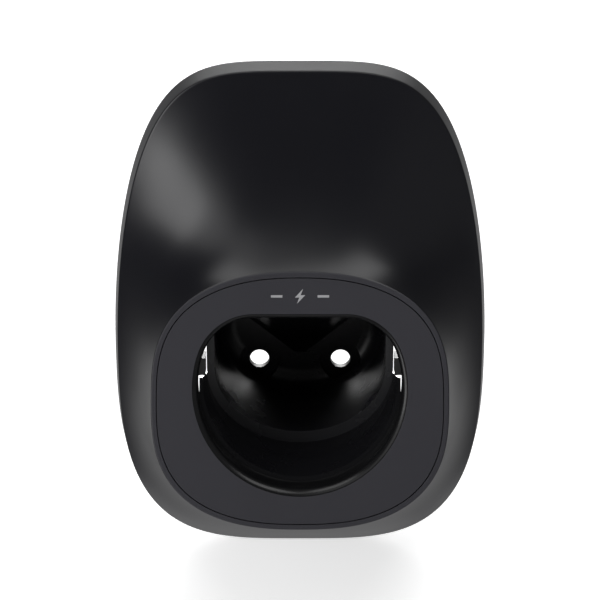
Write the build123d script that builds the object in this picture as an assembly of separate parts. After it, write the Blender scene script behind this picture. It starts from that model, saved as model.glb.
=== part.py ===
"""Wall dock for the charging connector of an electric car.

Frame: millimetres, +Z up, the dock faces -Y. The plane Y = 0 is the wall. The origin lies in that
plane, midway between the two wall-screw holes. "Forward" below is the distance from the wall, -Y.
"""
from build123d import *
import os
from math import cos, sin, pi, radians

# ---- driving dimensions -------------------------------------------------------------------------
# rear rim, which stands on the wall
RIM_CENTRE_Z = 5.0        # height of the rim's widest line
RIM_HALF_WIDTH = 57.5
RIM_TOP = 92.4            # rim height above its widest line
RIM_BOTTOM = 67.3         # rim depth below its widest line
RIM_THICK = 7.0           # depth of the rim's side band
RIM_DRAFT = 1.1           # the band is this much smaller at its front edge
RIM_POWERS_TOP = (4.24, 1.95)
RIM_POWERS_BOTTOM = (3.6, 2.9)

# nose, whose flat face leans back and holds the connector socket
NOSE_FORWARD = 50.0       # socket centre, forward of the wall
NOSE_Z = 12.6             # socket centre, above the screw holes
NOSE_TILT = 26.0          # the face looks up by this many degrees
NOSE_OFFSET = -3.7        # outline centre, measured up the face from the socket centre
NOSE_HALF_WIDTH = 44.0
NOSE_HALF_HEIGHT = 37.95
NOSE_POWERS_TOP = (2.35, 2.85)
NOSE_POWERS_BOTTOM = (2.5, 2.8)

# trumpet-shaped skin between rim and nose
SKIN = 2.2                # wall thickness
FLARE_START = 30.0        # angle between the flare and the wall where it leaves the rim
FLARE_END = 70.0          # the same angle where the flare meets the nose
ROOM_OVERSHOOT = 0.6      # the room inside is cut this far past the nose plane
LOFT_SECTIONS = 7
OUTLINE_POINTS = 48

# bezel
LIP = 1.5                 # shell edge left showing round the bezel
LIP_DEPTH = 2.8           # rebate for the bezel
LEDGE = 1.5               # how far the ledge behind the bezel reaches in past the lip
LEDGE_THICK = 1.5
BEZEL_GAP = 0.25
BEZEL_THICK = 2.6
MOUTH_RADIUS = 30.15      # socket bore just inside the rounded edge
MOUTH_FLAT = 20.2         # height of the bore's flat top above its centre
MOUTH_CORNER = 15.7
MOUTH_ROUND = 2.0         # rounding of the mouth's edge
SKIRT_WALL = 1.8
SKIRT_LENGTH = 6.5        # level length of the skirt behind the face

# mounting cup
SEAT_FORWARD = 35.2       # front face of the pocket wall, where the connector stops
POCKET_HALF_WIDTH = 25.6
POCKET_DROP = 21.5        # pocket floor below the socket centre
POCKET_ROOF_Z = 33.5
POCKET_CORNER = 7.0
POCKET_WALL = 2.3
POCKET_WALL_BOTTOM = 3.2
BOWL_WALL = 2.2
FUNNEL = 2.2              # the bowl narrows by this much from the skirt to the seat
BOWL_GAP = 0.4            # seam between the skirt and the bowl
BOWL_TOP_Z = 10.8         # top of the bowl's sides where they meet the seat
BOWL_TOP_RISE = 15.0      # their top edge rises forward by this many degrees
BOWL_HORN_Z = 3.0         # the bowl's sides thin out from here up
BOWL_HORN_HALF = 29.9     # half width left at the top of the horns
PLATE_THICK = 3.2
WALL_HOLE = 6.0
WALL_HOLE_SPACING = 25.2
COUNTERBORE = 12.6
COUNTERBORE_DEPTH = 1.0
PLATE_FILLET = 6.0        # between the pocket's walls and its back plate
DRAIN_WIDTH = 1.2         # groove along the bowl's floor
DRAIN_DEPTH = 0.5
DRAIN_ENDS = (36.2, 50.0) # forward distances of the groove's two ends

# snap tabs in the side windows
TAB_Z = (13.4, 19.0)
TAB_X = (28.9, 30.9)
TAB_FOOT_X = 28.0         # inner side of the thicker foot at the root
TAB_FOOT_LENGTH = 5.0
TAB_REAR = 30.6           # forward distance of the hook's rear face
TAB_ROOT = 42.6           # forward distance of the tabs' bending roots
TAB_HOOK = 1.1            # how far the hook stands out from the tab's outer face
TAB_HOOK_LENGTH = 2.6
TAB_CLEAR = 0.15          # gap at the bending root
NOTCH_CLEAR = 0.3         # gap above and below a tab in the skirt
WINDOW_CLEAR = 0.5
CATCH_GAP = 0.25          # between a tab and the catch that its hook grips
CATCH_X = 33.4            # outer side of the catches
CATCH_FOOT_X = 26.5       # inner side of their feet, inside the bowl's wall
CATCH_FRONT = 37.0
CATCH_FOOT_Z = (-5.0, 1.0)

# joint between cup and shell
LUG_THICK = 2.5
LUG_FORWARD = 3.0         # rear face of the lugs
LUG_SPOTS = ((-24.0, 50.0), (24.0, 50.0), (-24.0, -36.0), (24.0, -36.0))
LUG_RADIUS = 6.0
LUG_TAPER = 0.55          # the lugs start this far out, as a share of the screw's distance
BOSS_RADIUS = 4.2
SCREW_SHANK = 3.0
SCREW_LENGTH = 10.0
SCREW_HEAD = 5.6
SCREW_HEAD_THICK = 2.0
SCREW_HEAD_ROUND = 0.8
SCREW_CLEAR = 0.2
SCREW_CROSS = 0.9
SCREW_CROSS_SPAN = 3.4
SCREW_TIP_ROOM = 0.5      # pilot hole past the screw's tip

FAR = 200.0               # longer than the whole dock
FRONT_RING_REACH = 9.0    # takes the ring at the nose past the skin all round
BOSS_LENGTH = 50.0        # bosses are made this long and cut off at the skin
NEAR = 0.01               # tolerance for picking edges


# ---- frames and outlines ------------------------------------------------------------------------
def at(x, forward, z):
    """A point given by its distance forward of the wall."""
    return Vector(x, -forward, z)


TILT = radians(NOSE_TILT)
NOSE_NORMAL = at(0, cos(TILT), sin(TILT))
NOSE_PLANE = Plane(origin=at(0, NOSE_FORWARD, NOSE_Z), x_dir=(1, 0, 0), z_dir=NOSE_NORMAL)


def face_plane(level_setback=0.0, normal_offset=0.0):
    """The nose plane, moved level towards the wall or out along its own normal."""
    origin = at(0, NOSE_FORWARD - level_setback, NOSE_Z) + NOSE_NORMAL * normal_offset
    return Plane(origin=origin, x_dir=(1, 0, 0), z_dir=NOSE_NORMAL)


def level_plane(forward):
    """A plane parallel to the wall, looking away from it."""
    return Plane(origin=at(0, forward, 0), x_dir=(1, 0, 0), z_dir=(0, -1, 0))


def outline_radius(angle, half_width, top, bottom, powers_top, powers_bottom):
    """Radius of a rounded-square outline in one direction, found by bisection."""
    across, along = abs(cos(angle)), abs(sin(angle))
    upper = sin(angle) >= 0
    height = top if upper else bottom
    power_x, power_z = powers_top if upper else powers_bottom
    low, high = 0.0, half_width + height
    for _ in range(50):
        radius = (low + high) / 2
        if (radius * across / half_width) ** power_x + (radius * along / height) ** power_z < 1:
            low = radius
        else:
            high = radius
    return low


def rim_outline(inset=0.0):
    """Rim outline as (x, z) points, inset from the rear edge."""
    points = []
    for step in range(OUTLINE_POINTS):
        angle = 2 * pi * step / OUTLINE_POINTS + pi / 2
        radius = outline_radius(
            angle, RIM_HALF_WIDTH - inset, RIM_TOP - inset, RIM_BOTTOM - inset,
            RIM_POWERS_TOP, RIM_POWERS_BOTTOM,
        )
        points.append((radius * cos(angle), RIM_CENTRE_Z + radius * sin(angle)))
    return points


def nose_outline(inset=0.0):
    """Nose outline as points in the nose plane, inset from its edge."""
    points = []
    for step in range(OUTLINE_POINTS):
        angle = 2 * pi * step / OUTLINE_POINTS + pi / 2
        height = NOSE_HALF_HEIGHT - inset
        radius = outline_radius(
            angle, NOSE_HALF_WIDTH - inset, height, height, NOSE_POWERS_TOP, NOSE_POWERS_BOTTOM,
        )
        points.append((radius * cos(angle), NOSE_OFFSET + radius * sin(angle)))
    return points


def closed_wire(points):
    """A smooth closed curve through the points."""
    return Wire([Edge.make_spline(points, periodic=True)])


def rim_wire(forward, inset):
    return closed_wire([at(x, forward, z) for x, z in rim_outline(inset)])


def nose_points(inset, normal_offset=0.0):
    plane = face_plane(normal_offset=normal_offset)
    return [plane.from_local_coords(Vector(x, t, 0)) for x, t in nose_outline(inset)]


def nose_wire(inset, normal_offset=0.0):
    return closed_wire(nose_points(inset, normal_offset))


def flare_point(share, rim, nose):
    """A point of the flare, whose section is an arc that bends forward from the rim to the nose."""
    start, end = radians(FLARE_START), radians(FLARE_END)
    turn = start + (end - start) * share
    inward = (sin(turn) - sin(start)) / (sin(end) - sin(start))
    ahead = (cos(start) - cos(turn)) / (cos(start) - cos(end))
    return Vector(
        rim.X + (nose.X - rim.X) * inward,
        rim.Y + (nose.Y - rim.Y) * ahead,
        rim.Z + (nose.Z - rim.Z) * inward,
    )


def side_faces(wires, ruled=False):
    """The faces of a loft through closed wires, without its flat ends."""
    return [face for face in Solid.make_loft(wires, ruled).faces() if face.geom_type != GeomType.PLANE]


def trumpet(rear, front, rear_inset, front_inset, noses):
    """A solid with a straight-sided band at the rear, a flare and a flat nose.

    rear and front are the band's distances forward of the wall.
    """
    rims = [at(x, front, z) for x, z in rim_outline(front_inset)]
    wires = []
    for section in range(LOFT_SECTIONS):
        share = section / (LOFT_SECTIONS - 1)
        wires.append(closed_wire([flare_point(share, rim, nose) for rim, nose in zip(rims, noses)]))
    rear_wire = rim_wire(rear, rear_inset)
    faces = [Face(rear_wire)]
    faces += side_faces([rear_wire, wires[0]], ruled=True)
    faces += side_faces(wires)
    faces += [Face(wires[-1])]
    return Solid(Shell(faces))


def room_nose_points():
    """Where the room inside the skin leaves the nose, carried on past the nose plane."""
    start, end = radians(FLARE_START), radians(FLARE_END)
    inward_rate = cos(end) / (sin(end) - sin(start))
    ahead_rate = sin(end) / (cos(start) - cos(end))
    rims = [at(x, RIM_THICK, z) for x, z in rim_outline(RIM_DRAFT)]
    noses = nose_points(0)
    plane = face_plane(normal_offset=ROOM_OVERSHOOT)
    points = []
    for i, (rim, nose) in enumerate(zip(rims, noses)):
        step = nose - rim
        along = Vector(step.X * inward_rate, step.Y * ahead_rate, step.Z * inward_rate)
        around = noses[(i + 1) % len(noses)] - noses[i - 1]
        outward = along.cross(around).normalized()
        if outward.dot(nose - NOSE_PLANE.origin) < 0:
            outward = -outward
        inside = nose - outward * SKIN
        reach = (ROOM_OVERSHOOT - NOSE_PLANE.to_local_coords(inside).Z) / along.dot(NOSE_NORMAL)
        on_plane = plane.to_local_coords(inside + along * reach)
        points.append(plane.from_local_coords(Vector(on_plane.X, on_plane.Y, 0)))
    return points


# ---- outer shell --------------------------------------------------------------------------------
def forward_cylinder(x, forward, z, radius, length):
    """A cylinder that starts at a distance from the wall and runs forward."""
    upright = Cylinder(radius, length, align=(Align.CENTER, Align.CENTER, Align.MIN))
    return Pos(x, -forward, z) * (Rot(90, 0, 0) * upright)


def shell_boss(x, z):
    """Boss that a shell screw bites into, from the lug to the skin."""
    return forward_cylinder(x, LUG_FORWARD + LUG_THICK, z, BOSS_RADIUS, BOSS_LENGTH)


def shell_screw_hole(x, z):
    depth = SCREW_LENGTH + SCREW_TIP_ROOM
    return forward_cylinder(x, LUG_FORWARD, z, SCREW_SHANK / 2, depth)


def front_ring():
    """The ring kept solid at the nose, from its face to the back of the bezel's ledge."""
    base = -LIP_DEPTH - LEDGE_THICK
    depth = NOSE_NORMAL * (ROOM_OVERSHOOT + 1 - base)
    around = Solid.extrude(Face(nose_wire(-FRONT_RING_REACH, normal_offset=base)), depth)
    return around - Solid.extrude(Face(nose_wire(LIP + LEDGE, normal_offset=base)), depth)


def make_outer_shell():
    outer = trumpet(0, RIM_THICK, 0, RIM_DRAFT, nose_points(0))
    room = trumpet(-1, RIM_THICK - SKIN, SKIN, RIM_DRAFT + SKIN, room_nose_points())
    shell = outer - (room - front_ring())
    for x, z in LUG_SPOTS:
        shell += shell_boss(x, z) & outer
    for x, z in LUG_SPOTS:
        shell -= shell_screw_hole(x, z)
    rebate = Solid.extrude(Face(nose_wire(LIP, normal_offset=-LIP_DEPTH)), NOSE_NORMAL * FAR / 10)
    return shell - rebate


# ---- bezel --------------------------------------------------------------------------------------
def mouth_wire(plane, grow=0.0):
    """The socket outline, a circle with a flat top, drawn on a plane and grown by a margin."""
    radius = MOUTH_RADIUS + grow
    flat = MOUTH_FLAT + grow
    corner = MOUTH_CORNER + grow
    corner_t = flat - corner
    corner_x = ((radius - corner) ** 2 - corner_t ** 2) ** 0.5
    reach = radius / (radius - corner)
    end = (corner_x * reach, corner_t * reach)
    diagonal = corner * 0.5 ** 0.5
    flat_end = (corner_x, flat)
    mid = (corner_x + diagonal, corner_t + diagonal)

    def right(point):
        return plane.from_local_coords(Vector(point[0], point[1], 0))

    def left(point):
        return plane.from_local_coords(Vector(-point[0], point[1], 0))

    return Wire([
        Edge.make_line(left(flat_end), right(flat_end)),
        Edge.make_three_point_arc(right(flat_end), right(mid), right(end)),
        Edge.make_three_point_arc(right(end), right((0, -radius)), left(end)),
        Edge.make_three_point_arc(left(end), left(mid), left(flat_end)),
    ])


def level_bore(grow, ahead, back):
    """The socket outline carried level, from ahead of the nose plane to behind it."""
    start = face_plane(level_setback=-ahead)
    return Solid.extrude(Face(mouth_wire(start, grow)), Vector(0, ahead + back, 0))


def half_space(plane, keep_front=True):
    """A large block on one side of a plane."""
    direction = plane.z_dir if keep_front else -plane.z_dir
    side = 2 * FAR
    return Solid.extrude(Face.make_rect(side, side, plane), direction * side)


def mirrored(side, near, far):
    """A range of x on one side of the middle, given outwards on the right."""
    return tuple(sorted((side * near, side * far)))


def block(x_range, forward_range, z_range):
    """A box from its ranges; the middle one counts forward of the wall."""
    size = [high - low for low, high in (x_range, forward_range, z_range)]
    middle = at(sum(x_range) / 2, sum(forward_range) / 2, sum(z_range) / 2)
    return Location(middle) * Box(*size)


def is_mouth_edge(edge):
    """Whether an edge is part of the socket outline on the bezel's face."""
    on_face = abs(NOSE_PLANE.to_local_coords(edge.center()).Z) < NEAR
    reach = max(abs(vertex.X) for vertex in edge.vertices())
    return on_face and reach < MOUTH_RADIUS + NEAR


def make_front_bezel():
    flange = Solid.extrude(
        Face(nose_wire(LIP + BEZEL_GAP, normal_offset=-BEZEL_THICK)), NOSE_NORMAL * BEZEL_THICK)
    bezel = flange + level_bore(SKIRT_WALL, 0.0, SKIRT_LENGTH)
    bezel -= level_bore(0.0, SKIRT_LENGTH, 2 * SKIRT_LENGTH)
    # the skirt stays ahead of the pocket wall
    bezel &= half_space(level_plane(SEAT_FORWARD + BOWL_GAP))
    bezel = bezel.fillet(MOUTH_ROUND, [edge for edge in bezel.edges() if is_mouth_edge(edge)])
    # notches that the snap tabs' roots stand in
    low, high = TAB_Z
    for side in (-1, 1):
        bezel -= block(
            mirrored(side, TAB_X[0] - 1, TAB_X[1] + 3),
            (0, TAB_ROOT + TAB_CLEAR),
            (low - NOTCH_CLEAR, high + NOTCH_CLEAR))
    return bezel


# ---- snap tabs ----------------------------------------------------------------------------------
def make_snap_tab(side):
    """A tab that bends about its upright root at the skirt, with a hook on its outer face."""
    arm = block(mirrored(side, *TAB_X), (TAB_REAR, TAB_ROOT), TAB_Z)
    arm += block(mirrored(side, TAB_FOOT_X, TAB_X[1]), (TAB_ROOT - TAB_FOOT_LENGTH, TAB_ROOT), TAB_Z)
    hook_x = mirrored(side, TAB_X[0], TAB_X[1] + TAB_HOOK)
    return arm + block(hook_x, (TAB_REAR, TAB_REAR + TAB_HOOK_LENGTH), TAB_Z)


def tab_catch(side):
    """The post outside a tab that its hook grips, on a foot that joins the bowl."""
    depth = (TAB_REAR + TAB_HOOK_LENGTH + CATCH_GAP, CATCH_FRONT)
    post = block(mirrored(side, TAB_X[1] + CATCH_GAP, CATCH_X), depth, (CATCH_FOOT_Z[0], TAB_Z[1]))
    return post + block(mirrored(side, CATCH_FOOT_X, CATCH_X), depth, CATCH_FOOT_Z)


# ---- mounting cup -------------------------------------------------------------------------------
def pocket_face(grow_side, grow_bottom, forward):
    """The pocket's section parallel to the wall: half an ellipse under a round-cornered roof."""
    half = POCKET_HALF_WIDTH + grow_side
    drop = POCKET_DROP + grow_bottom
    roof = POCKET_ROOF_Z + grow_side
    corner = POCKET_CORNER + grow_side
    plane = level_plane(forward)
    floor = Edge.make_ellipse(half, drop, Plane(origin=(0, NOSE_Z, 0)), start_angle=180, end_angle=360)
    sides = FilletPolyline(
        (half, NOSE_Z), (half, roof), (-half, roof), (-half, NOSE_Z), radius=corner)
    outline = Wire([floor] + list(sides.edges()))
    return Face(outline.moved(plane.location))


def make_pocket_room():
    """The space inside the pocket, rounded towards its back plate."""
    room = Solid.extrude(pocket_face(0, 0, PLATE_THICK), Vector(0, -FAR, 0))
    return room.fillet(PLATE_FILLET, [
        edge for edge in room.edges() if abs(edge.center().Y + PLATE_THICK) < NEAR])


def bowl_top_plane():
    """The plane that the bowl's sides end in."""
    rise = radians(BOWL_TOP_RISE)
    return Plane(origin=at(0, SEAT_FORWARD, BOWL_TOP_Z), x_dir=(1, 0, 0), z_dir=(0, sin(rise), cos(rise)))


def make_bowl():
    """The bowl that carries the socket from the skirt back to the seat."""
    seam = face_plane(level_setback=SKIRT_LENGTH + BOWL_GAP)
    bowl = level_bore(BOWL_WALL, 0.0, NOSE_FORWARD)
    bowl &= half_space(seam, keep_front=False)
    bowl &= half_space(level_plane(SEAT_FORWARD - BOWL_WALL))
    bowl &= half_space(bowl_top_plane(), keep_front=False)
    for side in (-1, 1):
        bowl -= horn_cut(side)
        bowl += tab_catch(side)
    bowl -= Solid.make_loft([
        mouth_wire(face_plane(level_setback=-1.0)),
        mouth_wire(face_plane(level_setback=NOSE_FORWARD - SEAT_FORWARD), -FUNNEL),
    ], ruled=True)
    seat_room = Solid.extrude(Face(mouth_wire(face_plane(), -FUNNEL)), Vector(0, NOSE_FORWARD, 0))
    bowl -= seat_room & half_space(level_plane(SEAT_FORWARD))
    return bowl - drain_groove()


def drain_groove():
    """A straight groove that lets water run along the bowl's floor."""
    seat_z = NOSE_Z - MOUTH_RADIUS + FUNNEL
    front_z = NOSE_Z - MOUTH_RADIUS
    sides = (-DRAIN_WIDTH / 2, DRAIN_WIDTH / 2)
    return block(sides, DRAIN_ENDS, (front_z - DRAIN_DEPTH, seat_z + DRAIN_DEPTH))


def make_dock_cup():
    wall = Solid.extrude(pocket_face(POCKET_WALL, POCKET_WALL_BOTTOM, 0), Vector(0, -SEAT_FORWARD, 0))
    room = make_pocket_room()
    cup = (wall - room) + (make_bowl() - room)
    for x, z in LUG_SPOTS:
        cup += lug(x, z, room)
    for x, z in LUG_SPOTS:
        cup -= forward_cylinder(x, 0, z, SCREW_SHANK / 2 + SCREW_CLEAR, FAR / 10)
    for side in (-1, 1):
        x = side * WALL_HOLE_SPACING / 2
        cup -= forward_cylinder(x, -PLATE_THICK, z=0, radius=WALL_HOLE / 2, length=3 * PLATE_THICK)
        cup -= forward_cylinder(
            x, PLATE_THICK - COUNTERBORE_DEPTH, z=0, radius=COUNTERBORE / 2, length=PLATE_THICK)
        cup -= tab_window(side)
    return cup


def tab_window(side):
    """The opening in the pocket's side wall that a tab bends into when it is let go."""
    return block(
        mirrored(side, POCKET_HALF_WIDTH - 2, POCKET_HALF_WIDTH + POCKET_WALL + 2 * NEAR),
        (TAB_REAR - WINDOW_CLEAR, TAB_REAR + TAB_HOOK_LENGTH + WINDOW_CLEAR),
        (TAB_Z[0] - WINDOW_CLEAR, TAB_Z[1] + WINDOW_CLEAR))


def horn_cut(side):
    """What is cut from the bowl's side so that it thins towards the window."""
    outer = MOUTH_RADIUS + BOWL_WALL + BOWL_GAP
    above = TAB_Z[0]
    corners = [
        (MOUTH_RADIUS - TAB_CLEAR, BOWL_HORN_Z),
        (BOWL_HORN_HALF, BOWL_TOP_Z),
        (BOWL_HORN_HALF, above),
        (outer, above),
        (outer, BOWL_HORN_Z),
    ]
    sheet = Face(Wire.make_polygon([at(side * x, 0, z) for x, z in corners], close=True))
    return Solid.extrude(sheet, Vector(0, -FAR, 0))


def lug(x, z, room):
    """A plate from the pocket's outside to one shell screw."""
    side = 1 if x > 0 else -1
    root_z = POCKET_ROOF_Z if z > NOSE_Z else NOSE_Z - POCKET_DROP
    plate = block(
        mirrored(side, abs(x) * LUG_TAPER, abs(x) + LUG_RADIUS),
        (LUG_FORWARD, LUG_FORWARD + LUG_THICK),
        sorted((z, root_z)))
    return (plate + forward_cylinder(x, LUG_FORWARD, z, LUG_RADIUS, LUG_THICK)) - room


# ---- shell screws -------------------------------------------------------------------------------
def make_shell_screw(x, z):
    """Pan-head screw, put in from the rear."""
    shank = Cylinder(SCREW_SHANK / 2, SCREW_LENGTH, align=(Align.CENTER, Align.CENTER, Align.MIN))
    head = Cylinder(SCREW_HEAD / 2, SCREW_HEAD_THICK, align=(Align.CENTER, Align.CENTER, Align.MAX))
    head = head.fillet(SCREW_HEAD_ROUND, [head.edges().sort_by(Axis.Z)[0]])
    slot = Box(SCREW_CROSS_SPAN, SCREW_CROSS, 2 * SCREW_CROSS)
    cross = Pos(0, 0, -SCREW_HEAD_THICK) * (slot + Rot(0, 0, 90) * slot)
    return Pos(x, -LUG_FORWARD, z) * (Rot(90, 0, 0) * (shank + head - cross))


# ---- build --------------------------------------------------------------------------------------
def build_parts():
    parts = {
        "outer_shell": make_outer_shell(),
        "front_bezel": make_front_bezel(),
        "dock_cup": make_dock_cup(),
        "snap_tab_left": make_snap_tab(-1),
        "snap_tab_right": make_snap_tab(1),
    }
    for number, (x, z) in enumerate(LUG_SPOTS, start=1):
        parts[f"shell_screw_{number}"] = make_shell_screw(x, z)
    return parts


os.makedirs("parts", exist_ok=True)
for name, shape in build_parts().items():
    export_step(shape, f"parts/{name}.step")
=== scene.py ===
"""Looks for the car-connector wall dock: finished meshes, materials, studio light and camera.

The dock faces -Y, +Z is up and Y = 0 is the wall. Its sizes are in millimetres, the same driving
dimensions as the CAD model's, and MM turns them into Blender's metres. The studio is in metres.
"""

import math

import bmesh
import bpy
import numpy as np
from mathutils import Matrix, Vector
from mathutils.bvhtree import BVHTree


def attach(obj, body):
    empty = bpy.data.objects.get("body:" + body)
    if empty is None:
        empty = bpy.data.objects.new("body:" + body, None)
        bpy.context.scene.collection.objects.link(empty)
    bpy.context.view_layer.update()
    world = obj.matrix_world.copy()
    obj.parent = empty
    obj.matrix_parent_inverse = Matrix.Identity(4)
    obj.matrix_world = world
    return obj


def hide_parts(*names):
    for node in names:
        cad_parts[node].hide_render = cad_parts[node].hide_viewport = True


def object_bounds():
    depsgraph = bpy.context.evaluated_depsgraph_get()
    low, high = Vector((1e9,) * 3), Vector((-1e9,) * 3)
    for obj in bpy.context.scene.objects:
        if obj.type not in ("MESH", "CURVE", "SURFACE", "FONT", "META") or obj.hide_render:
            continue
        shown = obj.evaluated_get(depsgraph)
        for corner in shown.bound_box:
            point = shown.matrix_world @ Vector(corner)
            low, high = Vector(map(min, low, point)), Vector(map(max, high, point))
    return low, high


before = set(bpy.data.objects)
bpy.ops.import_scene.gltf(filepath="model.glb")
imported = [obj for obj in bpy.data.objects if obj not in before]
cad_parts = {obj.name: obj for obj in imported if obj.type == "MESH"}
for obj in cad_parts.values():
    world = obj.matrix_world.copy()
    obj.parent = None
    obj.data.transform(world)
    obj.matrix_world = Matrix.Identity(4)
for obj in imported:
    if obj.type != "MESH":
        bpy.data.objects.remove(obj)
cad_low, cad_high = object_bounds()

MM = 0.001

# ---- driving dimensions, as in the CAD model, in millimetres --------------------------------------
RIM_CENTRE_Z = 5.0
RIM_HALF_WIDTH = 57.5
RIM_TOP = 92.4            # above the rim's centre
RIM_BOTTOM = 67.3         # below it
RIM_THICK = 7.0
RIM_DRAFT = 1.1           # how much narrower the rim's front edge is
RIM_POWERS_TOP = (4.24, 1.95)       # how square the outline is, across and along
RIM_POWERS_BOTTOM = (3.6, 2.9)

NOSE_FORWARD = 50.0       # socket's centre, from the wall
NOSE_Z = 12.6
NOSE_TILT = math.radians(26.0)
NOSE_OFFSET = -3.7        # nose outline's centre, up the face from the socket's centre
NOSE_HALF_WIDTH = 44.0
NOSE_HALF_HEIGHT = 37.95
NOSE_POWERS_TOP = (2.35, 2.85)
NOSE_POWERS_BOTTOM = (2.5, 2.8)

SKIN = 2.2
FLARE_START = math.radians(30.0)    # flare's section, at the rim and at the nose
FLARE_END = math.radians(70.0)
LIP = 1.5                 # width of the shell's edge round the bezel
LIP_DEPTH = 2.8
LEDGE = 1.5               # width and thickness of the ring that carries the bezel
LEDGE_THICK = 1.5
BEZEL_GAP = 0.25
BEZEL_THICK = 2.6
MOUTH_RADIUS = 30.15
MOUTH_FLAT = 20.2         # mouth's flat top, above the socket's centre
MOUTH_CORNER = 15.7
MOUTH_ROUND = 2.0
SKIRT_WALL = 1.8
SKIRT_LENGTH = 6.5
SEAT_FORWARD = 35.2       # front face of the ring that stops the connector
SEAT_CLEAR_FORWARD = 35.6           # the skirt comes no nearer to the wall than this
TAB_NOTCH_FORWARD = 42.75
TAB_NOTCH_Z = (13.1, 19.3)
TAB_NOTCH_X = (27.9, 33.9)

BOSS_SPOTS = ((-24.0, 50.0), (24.0, 50.0), (-24.0, -36.0), (24.0, -36.0))
BOSS_RADIUS = 4.2
BOSS_FORWARD = 5.5        # rear face of the bosses
BOSS_BITE = 1.0           # how far they run into the skin
PILOT_RADIUS = 1.5
PILOT_FORWARD = 13.5      # closed end of the screw holes

# ---- small radii that only the finished meshes have, in millimetres -------------------------------
ROOM_EDGE_ROUND = 0.25
REAR_EDGE_ROUND = 0.35
RIM_EDGE_ROUND = 0.45
LIP_EDGE_ROUND = 0.4
LEDGE_ROUND = 0.2
SEAM_ROUND = 0.06         # crisp edges on both sides of the seam round the bezel
SKIRT_ROUND = 0.2

# ---- how finely the meshes are divided ------------------------------------------------------------
AROUND = 288              # points round each ring
FLARE_RINGS = 72
ROOM_RINGS = 24           # the same flare, seen from inside
RIM_ROUND_ENDS = 2        # flare ring that the rounding of the rim's edge leads to
MOUTH_ROUND_STEPS = 12
BOSS_SIDES = 40
GUARD_SPREAD = 1.35       # rings that hold a rounding's shape, in radii from its corner
HALVINGS = 60             # of the span in which an outline's radius is searched
TINY = 1e-6


# ---- geometry helpers -----------------------------------------------------------------------------
def angles():
    """Directions round an outline, from the top."""
    return math.pi / 2 + 2 * math.pi * np.arange(AROUND) / AROUND


def outline(half_width, top, bottom, powers_top, powers_bottom):
    """Points of a rounded-square outline, one for each direction, where |x/w|^p + |z/h|^q is 1."""
    a = angles()
    across, along = np.abs(np.cos(a)), np.abs(np.sin(a))
    upper = np.sin(a) >= 0
    height = np.where(upper, top, bottom)
    power_x = np.where(upper, powers_top[0], powers_bottom[0])
    power_z = np.where(upper, powers_top[1], powers_bottom[1])
    low, high = np.zeros(AROUND), np.full(AROUND, half_width + max(top, bottom))
    for _ in range(HALVINGS):
        radius = (low + high) / 2
        inside = (radius * across / half_width) ** power_x + (radius * along / height) ** power_z < 1
        low, high = np.where(inside, radius, low), np.where(inside, high, radius)
    return np.stack([low * np.cos(a), low * np.sin(a)], axis=1)


def rim_ring(forward, inset):
    """The rim's outline at a distance from the wall, shrunk by an inset."""
    top, bottom = RIM_TOP - inset, RIM_BOTTOM - inset
    flat = outline(RIM_HALF_WIDTH - inset, top, bottom, RIM_POWERS_TOP, RIM_POWERS_BOTTOM)
    return np.stack([flat[:, 0], np.full(AROUND, -forward), RIM_CENTRE_Z + flat[:, 1]], axis=1)


NOSE_ORIGIN = np.array([0.0, -NOSE_FORWARD, NOSE_Z])
NOSE_NORMAL = np.array([0.0, -math.cos(NOSE_TILT), math.sin(NOSE_TILT)])
NOSE_UP = np.array([0.0, math.sin(NOSE_TILT), math.cos(NOSE_TILT)])
ACROSS = np.array([1.0, 0.0, 0.0])
LEVEL_BACK = np.array([0.0, 1.0, 0.0])


def on_nose(flat, out=0.0):
    """Points drawn on the nose's face, moved out along its normal."""
    return NOSE_ORIGIN + flat[:, :1] * ACROSS + flat[:, 1:2] * NOSE_UP + out * NOSE_NORMAL


def nose_ring(inset, out=0.0):
    """The nose's outline, shrunk by an inset and moved out along the face's normal."""
    height = NOSE_HALF_HEIGHT - inset
    flat = outline(NOSE_HALF_WIDTH - inset, height, height, NOSE_POWERS_TOP, NOSE_POWERS_BOTTOM)
    flat = flat + np.array([0.0, NOSE_OFFSET])
    return on_nose(flat, out)


def mouth_flat(grow):
    """The socket outline on the nose's face: a circle with a flat top and round corners."""
    radius, flat, corner = MOUTH_RADIUS + grow, MOUTH_FLAT + grow, MOUTH_CORNER + grow
    corner_t = flat - corner
    corner_x = math.sqrt((radius - corner) ** 2 - corner_t ** 2)
    a = angles()
    c = np.cos(a)
    s = np.sin(a)
    turn_flat = math.atan2(flat, corner_x)
    turn_round = math.atan2(corner_t, corner_x)
    to_centre = corner_x * np.abs(c) + corner_t * s
    off_centre = corner_x * s - corner_t * np.abs(c)
    on_corner = to_centre + np.sqrt(np.maximum(corner ** 2 - off_centre ** 2, 0.0))
    direction = np.arctan2(s, np.abs(c))
    r = np.full(AROUND, radius)
    r = np.where(direction > turn_round, on_corner, r)
    r = np.where(direction > turn_flat, flat / np.maximum(s, TINY), r)
    return np.stack([r * c, r * s], axis=1)


def mouth_ring(grow, depth=0.0, setback=0.0):
    """The socket outline sunk into the face and then carried level towards the wall."""
    flat = mouth_flat(grow) + np.array([0.0, depth * math.tan(NOSE_TILT)])
    return on_nose(flat, -depth) + setback * LEVEL_BACK


def toward(start, end):
    """Unit steps from each point of one ring to the same point of another."""
    step = end - start
    return step / np.linalg.norm(step, axis=1, keepdims=True)


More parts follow.
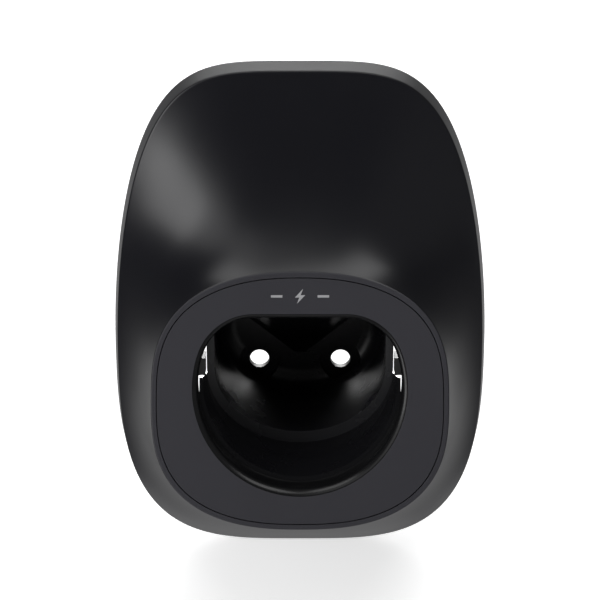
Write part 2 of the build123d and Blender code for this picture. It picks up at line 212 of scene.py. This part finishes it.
def rounded(before, corner, after, radius, steps):
    """Rings that round a corner between two neighbouring rings, with a tight ring at each end."""
    back, ahead = toward(corner, before), toward(corner, after)
    start, end = corner + radius * back, corner + radius * ahead
    rings = [corner + GUARD_SPREAD * radius * back]
    for step in range(steps + 1):
        t = step / steps
        rings.append((1 - t) ** 2 * start + 2 * t * (1 - t) * corner + t ** 2 * end)
    rings.append(corner + GUARD_SPREAD * radius * ahead)
    return rings


def torus_mesh(name, rings):
    """A closed mesh through rings of points that come back to the first ring. Rings are in millimetres."""
    points = np.concatenate(rings) * MM
    count, size = len(rings), len(rings[0])
    faces = []
    for ring in range(count):
        following = (ring + 1) % count
        for i in range(size):
            j = (i + 1) % size
            faces.append((ring * size + i, ring * size + j, following * size + j, following * size + i))
    return finish_mesh(name, points, faces)


def finish_mesh(name, points, faces):
    """A smooth-shaded piece whose faces all look outward. Points are in metres."""
    mesh = bpy.data.meshes.new(name)
    mesh.from_pydata([tuple(p) for p in points], [], faces)
    work = bmesh.new()
    work.from_mesh(mesh)
    bmesh.ops.recalc_face_normals(work, faces=work.faces)
    for face in work.faces:
        face.smooth = True
    work.to_mesh(mesh)
    work.free()
    piece = bpy.data.objects.new(name, mesh)
    bpy.context.scene.collection.objects.link(piece)
    return piece


FRONT_SLACK = 0.1         # how far a face of the flat front may lie off it, in millimetres
FRONT_SQUARE = 0.9        # least cosine between its normal and the front's
SUNK_LEAST = 0.01         # how far behind the front the mouth's own finish starts


def faces_forward(centre, normal):
    """Whether a face lies in the nose's flat front."""
    height = (np.array(centre) / MM - NOSE_ORIGIN) @ NOSE_NORMAL
    return abs(height) < FRONT_SLACK and np.array(normal) @ NOSE_NORMAL > FRONT_SQUARE


def sunk_in_mouth(centre, normal):
    """Whether a face lies on the mouth's rounded edge or the skirt, behind the flat front."""
    local = np.array(centre) / MM - NOSE_ORIGIN
    from_middle = math.hypot(local[0], local @ NOSE_UP)
    return local @ NOSE_NORMAL < -SUNK_LEAST and from_middle < MOUTH_RADIUS + MOUTH_ROUND


def paint_faces(piece, slot, test):
    """Give a material slot to the faces that pass a test of their centre and normal."""
    for face in piece.data.polygons:
        if test(face.center, face.normal):
            face.material_index = slot


# ---- outer shell ----------------------------------------------------------------------------------
def flare_ring(share, rims, noses):
    """One ring of the flare, whose section is an arc that bends forward from the rim to the nose."""
    turn = FLARE_START + (FLARE_END - FLARE_START) * share
    inward = (math.sin(turn) - math.sin(FLARE_START)) / (math.sin(FLARE_END) - math.sin(FLARE_START))
    ahead = (math.cos(FLARE_START) - math.cos(turn)) / (math.cos(FLARE_START) - math.cos(FLARE_END))
    return rims + (noses - rims) * np.array([inward, ahead, inward])


def room_noses():
    """Where the inside of the skin meets the back of the bezel's ledge."""
    rims, noses = rim_ring(RIM_THICK, RIM_DRAFT), nose_ring(0)
    inward_rate = math.cos(FLARE_END) / (math.sin(FLARE_END) - math.sin(FLARE_START))
    ahead_rate = math.sin(FLARE_END) / (math.cos(FLARE_START) - math.cos(FLARE_END))
    along = (noses - rims) * np.array([inward_rate, ahead_rate, inward_rate])
    around = np.roll(noses, -1, axis=0) - np.roll(noses, 1, axis=0)
    outward = np.cross(along, around)
    outward /= np.linalg.norm(outward, axis=1, keepdims=True)
    flip = np.sign(np.sum(outward * (noses - NOSE_ORIGIN), axis=1, keepdims=True))
    start = noses - outward * flip * SKIN
    height = (start - NOSE_ORIGIN) @ NOSE_NORMAL
    reach = (-LIP_DEPTH - LEDGE_THICK - height) / (along @ NOSE_NORMAL)
    return start + along * reach[:, None]


def make_shell():
    """The trumpet-shaped skin with its rim, its lip and the ledge behind the bezel."""
    rims, noses = rim_ring(RIM_THICK, RIM_DRAFT), nose_ring(0)
    flare = [flare_ring(i / FLARE_RINGS, rims, noses) for i in range(FLARE_RINGS + 1)]
    inner_rims, inner_noses = rim_ring(RIM_THICK - SKIN, RIM_DRAFT + SKIN), room_noses()
    room = [flare_ring(i / ROOM_RINGS, inner_rims, inner_noses) for i in range(ROOM_RINGS, 0, -1)]
    rear_inner, rear_outer = rim_ring(0, SKIN), rim_ring(0, 0)
    lip_inner, rebate = nose_ring(LIP), nose_ring(LIP, -LIP_DEPTH)
    ledge = nose_ring(LIP + LEDGE, -LIP_DEPTH)
    ledge_back = nose_ring(LIP + LEDGE, -LIP_DEPTH - LEDGE_THICK)
    rings = rounded(inner_rims, rear_inner, rear_outer, ROOM_EDGE_ROUND, steps=3)
    rings += rounded(rear_inner, rear_outer, rims, REAR_EDGE_ROUND, steps=4)
    rings += rounded(rear_outer, rims, flare[RIM_ROUND_ENDS], RIM_EDGE_ROUND, steps=5)
    rings += flare[RIM_ROUND_ENDS:-1]
    rings += rounded(flare[-2], noses, lip_inner, LIP_EDGE_ROUND, steps=5)
    rings += rounded(noses, lip_inner, rebate, SEAM_ROUND, steps=3)
    rings += [rebate]
    rings += rounded(rebate, ledge, ledge_back, LEDGE_ROUND, steps=3)
    rings += [ledge_back]
    rings += room
    rings += [inner_rims]
    shell = torus_mesh("shell_skin", rings)
    add_bosses(shell)
    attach(shell, "dock")
    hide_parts("outer_shell")
    shell.data.materials.append(shell_material())
    shell.data.materials.append(face_texture())
    paint_faces(shell, 1, faces_forward)


def add_bosses(shell):
    """Posts inside the shell that its screws bite into, each run into the skin."""
    work = bmesh.new()
    work.from_mesh(shell.data)
    skin = BVHTree.FromBMesh(work)
    ahead = Vector((0, -1, 0))
    turns = 2 * math.pi * np.arange(BOSS_SIDES) / BOSS_SIDES
    section = (
        (PILOT_RADIUS, PILOT_FORWARD),
        (PILOT_RADIUS, BOSS_FORWARD),
        (BOSS_RADIUS, BOSS_FORWARD),
        (BOSS_RADIUS, None),      # as far as the skin
    )
    for x, z in BOSS_SPOTS:
        rings = []
        for radius, forward in section:
            ring = []
            for turn in turns:
                across, up = radius * math.cos(turn), radius * math.sin(turn)
                spot = Vector((x + across, -BOSS_FORWARD, z + up)) * MM
                if forward is None:
                    spot = skin.ray_cast(spot, ahead)[0] + ahead * BOSS_BITE * MM
                else:
                    spot.y = -forward * MM
                ring.append(work.verts.new(spot))
            rings.append(ring)
        for low, high in zip(rings, rings[1:]):
            for i in range(BOSS_SIDES):
                j = (i + 1) % BOSS_SIDES
                work.faces.new((low[i], low[j], high[j], high[i])).smooth = False
        work.faces.new(rings[0])
        work.faces.new(list(reversed(rings[-1])))
    bmesh.ops.recalc_face_normals(work, faces=work.faces)
    work.to_mesh(shell.data)
    work.free()


# ---- bezel ----------------------------------------------------------------------------------------
BEZEL_FACE_SHARES = (0.25, 0.5, 0.75, 0.95)     # rings across the flat face, from edge to mouth
SKIRT_SHARES = (0.1, 0.4, 0.8)                  # rings along the skirt's inside


def make_bezel():
    """The face plate, the mouth's rounded edge and the skirt that runs back to the seat."""
    edge = nose_ring(LIP + BEZEL_GAP)
    back = nose_ring(LIP + BEZEL_GAP, -BEZEL_THICK)
    face_inner = mouth_ring(MOUTH_ROUND)
    rings = [back]
    rings += rounded(back, edge, face_inner, SEAM_ROUND, steps=3)
    for share in BEZEL_FACE_SHARES:
        rings.append(edge + (face_inner - edge) * share)
    for step in range(MOUTH_ROUND_STEPS + 1):
        turn = math.pi / 2 * step / MOUTH_ROUND_STEPS
        rings.append(mouth_ring(MOUTH_ROUND * (1 - math.sin(turn)), MOUTH_ROUND * (1 - math.cos(turn))))
    sunk = MOUTH_ROUND / math.cos(NOSE_TILT)
    inner_rear = mouth_ring(0, setback=SKIRT_LENGTH)
    outer_rear = mouth_ring(SKIRT_WALL, setback=SKIRT_LENGTH)
    for ring in (inner_rear, outer_rear):
        ring[:, 1] = np.minimum(ring[:, 1], -SEAT_CLEAR_FORWARD)
    for share in SKIRT_SHARES:
        rings.append(mouth_ring(0, setback=sunk + (SKIRT_LENGTH - sunk) * share))
    rings[-1][:, 1] = np.minimum(rings[-1][:, 1], -SEAT_CLEAR_FORWARD)
    rings += rounded(rings[-1], inner_rear, outer_rear, SKIRT_ROUND, steps=3)
    skirt_root = mouth_ring(SKIRT_WALL, depth=BEZEL_THICK)
    rings += rounded(inner_rear, outer_rear, skirt_root, SKIRT_ROUND, steps=3)
    rings += [skirt_root]
    bezel = torus_mesh("bezel_face", rings)
    cut_notches(bezel)
    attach(bezel, "dock")
    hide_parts("front_bezel")
    bezel.data.materials.append(face_texture())
    bezel.data.materials.append(mouth_material())
    paint_faces(bezel, 1, sunk_in_mouth)


def cut_notches(bezel):
    """Open the skirt's rear edge where the snap tabs stand."""
    for side in (-1, 1):
        low = Vector((side * TAB_NOTCH_X[0], -TAB_NOTCH_FORWARD, TAB_NOTCH_Z[0])) * MM
        high = Vector((side * TAB_NOTCH_X[1], 0.0, TAB_NOTCH_Z[1])) * MM
        bpy.ops.mesh.primitive_cube_add(size=1, location=(low + high) / 2)
        cutter = bpy.context.object
        cutter.scale = [abs(high[i] - low[i]) for i in range(3)]
        bpy.context.view_layer.update()
        cut = bezel.modifiers.new("notch", "BOOLEAN")
        cut.operation = "DIFFERENCE"
        cut.solver = "EXACT"
        cut.object = cutter
        bpy.context.view_layer.objects.active = bezel
        bpy.ops.object.modifier_apply(modifier=cut.name)
        bpy.data.objects.remove(cutter)


# ---- printed mark ---------------------------------------------------------------------------------
MARK_MIDDLE = 27.2        # mark's centre, up the face from the socket's centre
MARK_PROUD = 0.02         # ink's thickness above the face, and as much below it
MARK_BAR = (5.2, 8.6, 0.7)          # inner end, outer end and height of the bars at its sides
MARK_BOLT = ((0.9, 2.2), (-1.5, -0.35), (-0.2, -0.35), (-0.9, -2.2), (1.5, 0.35), (0.2, 0.35))


def make_mark():
    """A plain charging sign, a small bolt between two bars, printed on the bezel above the socket."""
    inner, outer, tall = MARK_BAR
    shapes = [MARK_BOLT]
    for side in (-1, 1):
        low, high = sorted((side * inner, side * outer))
        shapes.append(((low, -tall / 2), (high, -tall / 2), (high, tall / 2), (low, tall / 2)))
    points, faces = [], []
    for shape in shapes:
        count, start = len(shape), len(points)
        flat = np.array(shape) + np.array([0.0, MARK_MIDDLE])
        points += list(on_nose(flat, MARK_PROUD) * MM) + list(on_nose(flat, -MARK_PROUD) * MM)
        faces.append(tuple(range(start, start + count)))
        faces.append(tuple(range(start + 2 * count - 1, start + count - 1, -1)))
        for i in range(count):
            j = (i + 1) % count
            faces.append((start + i, start + j, start + count + j, start + count + i))
    mark = finish_mesh("printed_mark", points, faces)
    for face in mark.data.polygons:
        face.use_smooth = False
    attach(mark, "dock")
    mark.data.materials.append(ink_material())


# ---- materials ------------------------------------------------------------------------------------
COLOUR_DRIFT = 0.12       # share by which a moulding's colour strays each way
DRIFT_SCALE = 18.0        # noise scales are per metre
PATCH_SCALE = 60.0
PLASTIC_IOR = 1.5
STEEL_COLOUR = (0.52, 0.52, 0.53, 1)
STEEL_GLOSS = (0.28, 0.45)          # lowest and highest roughness of the plated screws
STEEL_SPOT_SCALE = 700.0
SEAT_COLOUR = (0.022, 0.022, 0.024, 1)
SEAT_BAND = 0.2           # how far from the seat's plane its paler finish reaches, in millimetres


def new_material(name):
    material = bpy.data.materials.new(name)
    material.use_nodes = True
    nodes = material.node_tree.nodes
    return material, nodes, material.node_tree.links, nodes["Principled BSDF"]


def add_node(nodes, kind, **settings):
    """A new node: names that start with a capital are its inputs, the others its settings."""
    node = nodes.new(kind)
    for key, value in settings.items():
        if key[0].isupper():
            node.inputs[key].default_value = value
        else:
            setattr(node, key, value)
    return node


def plastic(name, colour, roughness, spread, grain_scale, grain_depth, specular=None):
    """Moulded plastic: slight colour drift, uneven gloss and a fine surface grain, its depth in metres."""
    material, nodes, links, shader = new_material(name)
    place = add_node(nodes, "ShaderNodeTexCoord")
    drift = add_node(nodes, "ShaderNodeTexNoise", Scale=DRIFT_SCALE, Detail=2.0)
    links.new(place.outputs["Object"], drift.inputs["Vector"])
    shade = add_node(nodes, "ShaderNodeMix", data_type="RGBA")
    dark = [c * (1 - COLOUR_DRIFT) for c in colour]
    light = [c * (1 + COLOUR_DRIFT) for c in colour]
    shade.inputs["A"].default_value = (*dark, 1)
    shade.inputs["B"].default_value = (*light, 1)
    links.new(drift.outputs["Fac"], shade.inputs["Factor"])
    links.new(shade.outputs["Result"], shader.inputs["Base Color"])
    gloss = add_node(nodes, "ShaderNodeMapRange")
    gloss.inputs["To Min"].default_value = roughness - spread
    gloss.inputs["To Max"].default_value = roughness + spread
    patches = add_node(nodes, "ShaderNodeTexNoise", Scale=PATCH_SCALE, Detail=4.0)
    links.new(place.outputs["Object"], patches.inputs["Vector"])
    links.new(patches.outputs["Fac"], gloss.inputs["Value"])
    links.new(gloss.outputs["Result"], shader.inputs["Roughness"])
    grain = add_node(nodes, "ShaderNodeTexNoise", Scale=grain_scale, Detail=3.0)
    links.new(place.outputs["Object"], grain.inputs["Vector"])
    bump = add_node(nodes, "ShaderNodeBump", Strength=1.0, Distance=grain_depth)
    links.new(grain.outputs["Fac"], bump.inputs["Height"])
    links.new(bump.outputs["Normal"], shader.inputs["Normal"])
    shader.inputs["IOR"].default_value = PLASTIC_IOR
    if specular is not None:
        shader.inputs["Specular IOR Level"].default_value = specular
    return material


def shell_material():
    return plastic(
        "shell_gloss", colour=(0.0032, 0.0032, 0.0056), roughness=0.3, spread=0.03,
        grain_scale=900.0, grain_depth=0.000004)


def face_texture():
    """The finely textured satin of the nose's flat front."""
    found = bpy.data.materials.get("bezel_satin")
    return found or plastic(
        "bezel_satin", colour=(0.025, 0.0245, 0.031), roughness=0.5, spread=0.03,
        grain_scale=2600.0, grain_depth=0.000018)


def mouth_material():
    """The smoother finish of the mouth's rounded edge and the skirt."""
    return plastic(
        "mouth_polish", colour=(0.006, 0.006, 0.0065), roughness=0.22, spread=0.02,
        grain_scale=900.0, grain_depth=0.000002, specular=0.3)


def ink_material():
    return plastic(
        "mark_ink", colour=(0.34, 0.34, 0.35), roughness=0.45, spread=0.03,
        grain_scale=900.0, grain_depth=0.000002)


def cup_material():
    return plastic(
        "cup_satin", colour=(0.0055, 0.0055, 0.0065), roughness=0.27, spread=0.03,
        grain_scale=1400.0, grain_depth=0.000004, specular=0.27)


def tab_material():
    return plastic(
        "tab_satin", colour=(0.006, 0.006, 0.0065), roughness=0.3, spread=0.03,
        grain_scale=1400.0, grain_depth=0.000004)


def steel_material():
    """Zinc-plated steel with a spotty gloss."""
    material, nodes, links, shader = new_material("zinc_steel")
    place = add_node(nodes, "ShaderNodeTexCoord")
    spots = add_node(nodes, "ShaderNodeTexNoise", Scale=STEEL_SPOT_SCALE, Detail=4.0)
    links.new(place.outputs["Object"], spots.inputs["Vector"])
    ramp = add_node(nodes, "ShaderNodeMapRange")
    ramp.inputs["To Min"].default_value = STEEL_GLOSS[0]
    ramp.inputs["To Max"].default_value = STEEL_GLOSS[1]
    links.new(spots.outputs["Fac"], ramp.inputs["Value"])
    links.new(ramp.outputs["Result"], shader.inputs["Roughness"])
    shader.inputs["Base Color"].default_value = STEEL_COLOUR
    shader.inputs["Metallic"].default_value = 1.0
    return material


def lighten_seat(material):
    """A paler colour on the band that the connector stops against."""
    nodes, links = material.node_tree.nodes, material.node_tree.links
    shader = nodes["Principled BSDF"]
    place = add_node(nodes, "ShaderNodeTexCoord")
    split = add_node(nodes, "ShaderNodeSeparateXYZ")
    links.new(place.outputs["Object"], split.inputs["Vector"])
    band = add_node(nodes, "ShaderNodeMath", operation="COMPARE")
    band.inputs[1].default_value = -SEAT_FORWARD * MM
    band.inputs[2].default_value = SEAT_BAND * MM
    links.new(split.outputs["Y"], band.inputs[0])
    shade = add_node(nodes, "ShaderNodeMix", data_type="RGBA")
    shade.inputs["B"].default_value = SEAT_COLOUR
    links.new(shader.inputs["Base Color"].links[0].from_socket, shade.inputs["A"])
    links.new(band.outputs["Value"], shade.inputs["Factor"])
    links.new(shade.outputs["Result"], shader.inputs["Base Color"])


def dress_cad_nodes():
    """Finish for the nodes that keep their CAD shape."""
    cup = cup_material()
    lighten_seat(cup)
    tab = tab_material()
    steel = steel_material()
    finishes = {"dock_cup": cup, "snap_tab_left": tab, "snap_tab_right": tab}
    for name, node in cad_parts.items():
        if name in finishes or name.startswith("shell_screw"):
            for slot in node.material_slots:
                slot.material = finishes.get(name, steel)


# ---- studio, in metres ----------------------------------------------------------------------------
CAMERA_ELEVATION = math.radians(24.0)
CAMERA_DISTANCE = 0.870
CAMERA_AIM = Vector((0.0, -0.030, 0.03228))
CAMERA_LENS = 174.9       # lens and sensor are in millimetres
CAMERA_SENSOR = 36.0
CAMERA_NEAR = 0.01
CAMERA_FAR = 20.0

FLOOR_HALF = 6.0
FLOOR_COLOUR = (0.95, 0.95, 0.95, 1)
FLOOR_ROUGHNESS = 0.9
FLOOR_SPECULAR = 0.1
FLOOR_GLOW = 0.63         # light that the table gives off itself, which keeps it nearly white
WHITE = (1, 1, 1, 1)

LIGHTS_AIM = (0.0, -0.03, 0.02)
STUDIO_LIGHTS = {         # place, side of the square and power in watts
    "left_softbox": ((-0.76, -0.52, 0.21), 0.5, 2.8),
    "overhead_left": ((-0.27, -0.09, 0.93), 0.40, 1.35),
    "overhead_right": ((0.26, -0.19, 0.92), 0.42, 1.75),
}


def make_camera():
    data = bpy.data.cameras.new("camera")
    data.sensor_width = CAMERA_SENSOR
    data.lens = CAMERA_LENS
    camera = bpy.data.objects.new("camera", data)
    bpy.context.scene.collection.objects.link(camera)
    back = Vector((0, -math.cos(CAMERA_ELEVATION), math.sin(CAMERA_ELEVATION)))
    camera.location = CAMERA_AIM + back * CAMERA_DISTANCE
    camera.rotation_euler = (-back).to_track_quat("-Z", "Y").to_euler()
    data.clip_start = CAMERA_NEAR
    data.clip_end = CAMERA_FAR
    bpy.context.scene.camera = camera


def make_lights():
    """Soft square lights that face the dock."""
    for name, (place, size, power) in STUDIO_LIGHTS.items():
        data = bpy.data.lights.new(name, "AREA")
        data.shape = "SQUARE"
        data.size = size
        data.energy = power
        light = bpy.data.objects.new(name, data)
        bpy.context.scene.collection.objects.link(light)
        light.location = place
        light.rotation_euler = (Vector(LIGHTS_AIM) - Vector(place)).to_track_quat("-Z", "Y").to_euler()


def make_floor():
    """A white table at the dock's lowest point."""
    z = cad_low.z
    corners = ((-1, -1), (1, -1), (1, 1), (-1, 1))
    points = [(FLOOR_HALF * x, FLOOR_HALF * y, z) for x, y in corners]
    mesh = bpy.data.meshes.new("floor")
    mesh.from_pydata(points, [], [(0, 1, 2, 3)])
    floor = bpy.data.objects.new("floor", mesh)
    bpy.context.scene.collection.objects.link(floor)
    material, _, _, shader = new_material("floor_paper")
    shader.inputs["Base Color"].default_value = FLOOR_COLOUR
    shader.inputs["Roughness"].default_value = FLOOR_ROUGHNESS
    shader.inputs["Specular IOR Level"].default_value = FLOOR_SPECULAR
    shader.inputs["Emission Color"].default_value = WHITE
    shader.inputs["Emission Strength"].default_value = FLOOR_GLOW
    mesh.materials.append(material)
    floor.visible_glossy = False


# Broad soft lights far away: direction, cosines from it where each fades in and is full, strength.
WORLD_LOBES = {
    "backdrop": ((0.0, 1.0, 0.07), 0.93, 0.999, 24.0),
    "backdrop_edge": ((0.0, 1.0, 0.07), 0.75, 0.95, 0.6),
    "backdrop_top": ((0.0, 0.79, 0.62), 0.8, 0.97, 0.6),
    "softbox_low": ((-0.7, -0.7, -0.09), 0.965, 0.995, 1.8),
    "softbox_high": ((-0.63, -0.57, 0.53), 0.93, 0.99, 1.3),
    "ceiling": ((-0.26, -0.46, 0.85), 0.96, 0.995, 1.0),
    "table_left": ((-0.56, -0.1, -0.82), 0.86, 0.98, 1.2),
    "table_right": ((0.65, -0.1, -0.75), 0.86, 0.98, 1.4),
    "table_under": ((0.0, 0.0, -1.0), 0.85, 0.99, 0.8),
    "table_behind": ((0.0, 0.64, -0.77), 0.7, 0.95, 0.35),
    "table_front": ((0.15, -0.89, -0.42), 0.9, 0.99, 0.5),
    "right_haze": ((0.77, -0.55, 0.3), 0.7, 1.0, 0.13),
}
WORLD_DIM = 0.09          # the room's even light, which the lobes add to
WORLD_SEEN = 1.0          # the plain white background that the camera itself sees


def make_world():
    """A dim room with the broad lights above. The camera itself sees only plain white."""
    world = bpy.data.worlds.new("studio")
    bpy.context.scene.world = world
    world.use_nodes = True
    nodes, links = world.node_tree.nodes, world.node_tree.links
    ground = nodes["Background"]
    ground.inputs["Color"].default_value = WHITE
    place = nodes.new("ShaderNodeTexCoord")
    total = None
    for direction, start, full, strength in WORLD_LOBES.values():
        toward_lobe = add_node(nodes, "ShaderNodeVectorMath", operation="DOT_PRODUCT")
        toward_lobe.inputs[1].default_value = Vector(direction).normalized()
        links.new(place.outputs["Generated"], toward_lobe.inputs[0])
        fade = add_node(nodes, "ShaderNodeMapRange", interpolation_type="SMOOTHSTEP")
        fade.inputs["From Min"].default_value = start
        fade.inputs["From Max"].default_value = full
        fade.inputs["To Max"].default_value = strength
        links.new(toward_lobe.outputs["Value"], fade.inputs["Value"])
        add = add_node(nodes, "ShaderNodeMath", operation="ADD")
        links.new(fade.outputs["Result"], add.inputs[0])
        if total is None:
            add.inputs[1].default_value = WORLD_DIM
        else:
            links.new(total, add.inputs[1])
        total = add.outputs["Value"]
    path = nodes.new("ShaderNodeLightPath")
    seen = add_node(nodes, "ShaderNodeMix", data_type="FLOAT")
    seen.inputs["B"].default_value = WORLD_SEEN
    links.new(path.outputs["Is Camera Ray"], seen.inputs["Factor"])
    links.new(total, seen.inputs["A"])
    links.new(seen.outputs["Result"], ground.inputs["Strength"])


make_shell()
make_bezel()
make_mark()
dress_cad_nodes()
make_floor()
make_world()
make_lights()
make_camera()
bpy.context.scene.view_settings.view_transform = "Standard"
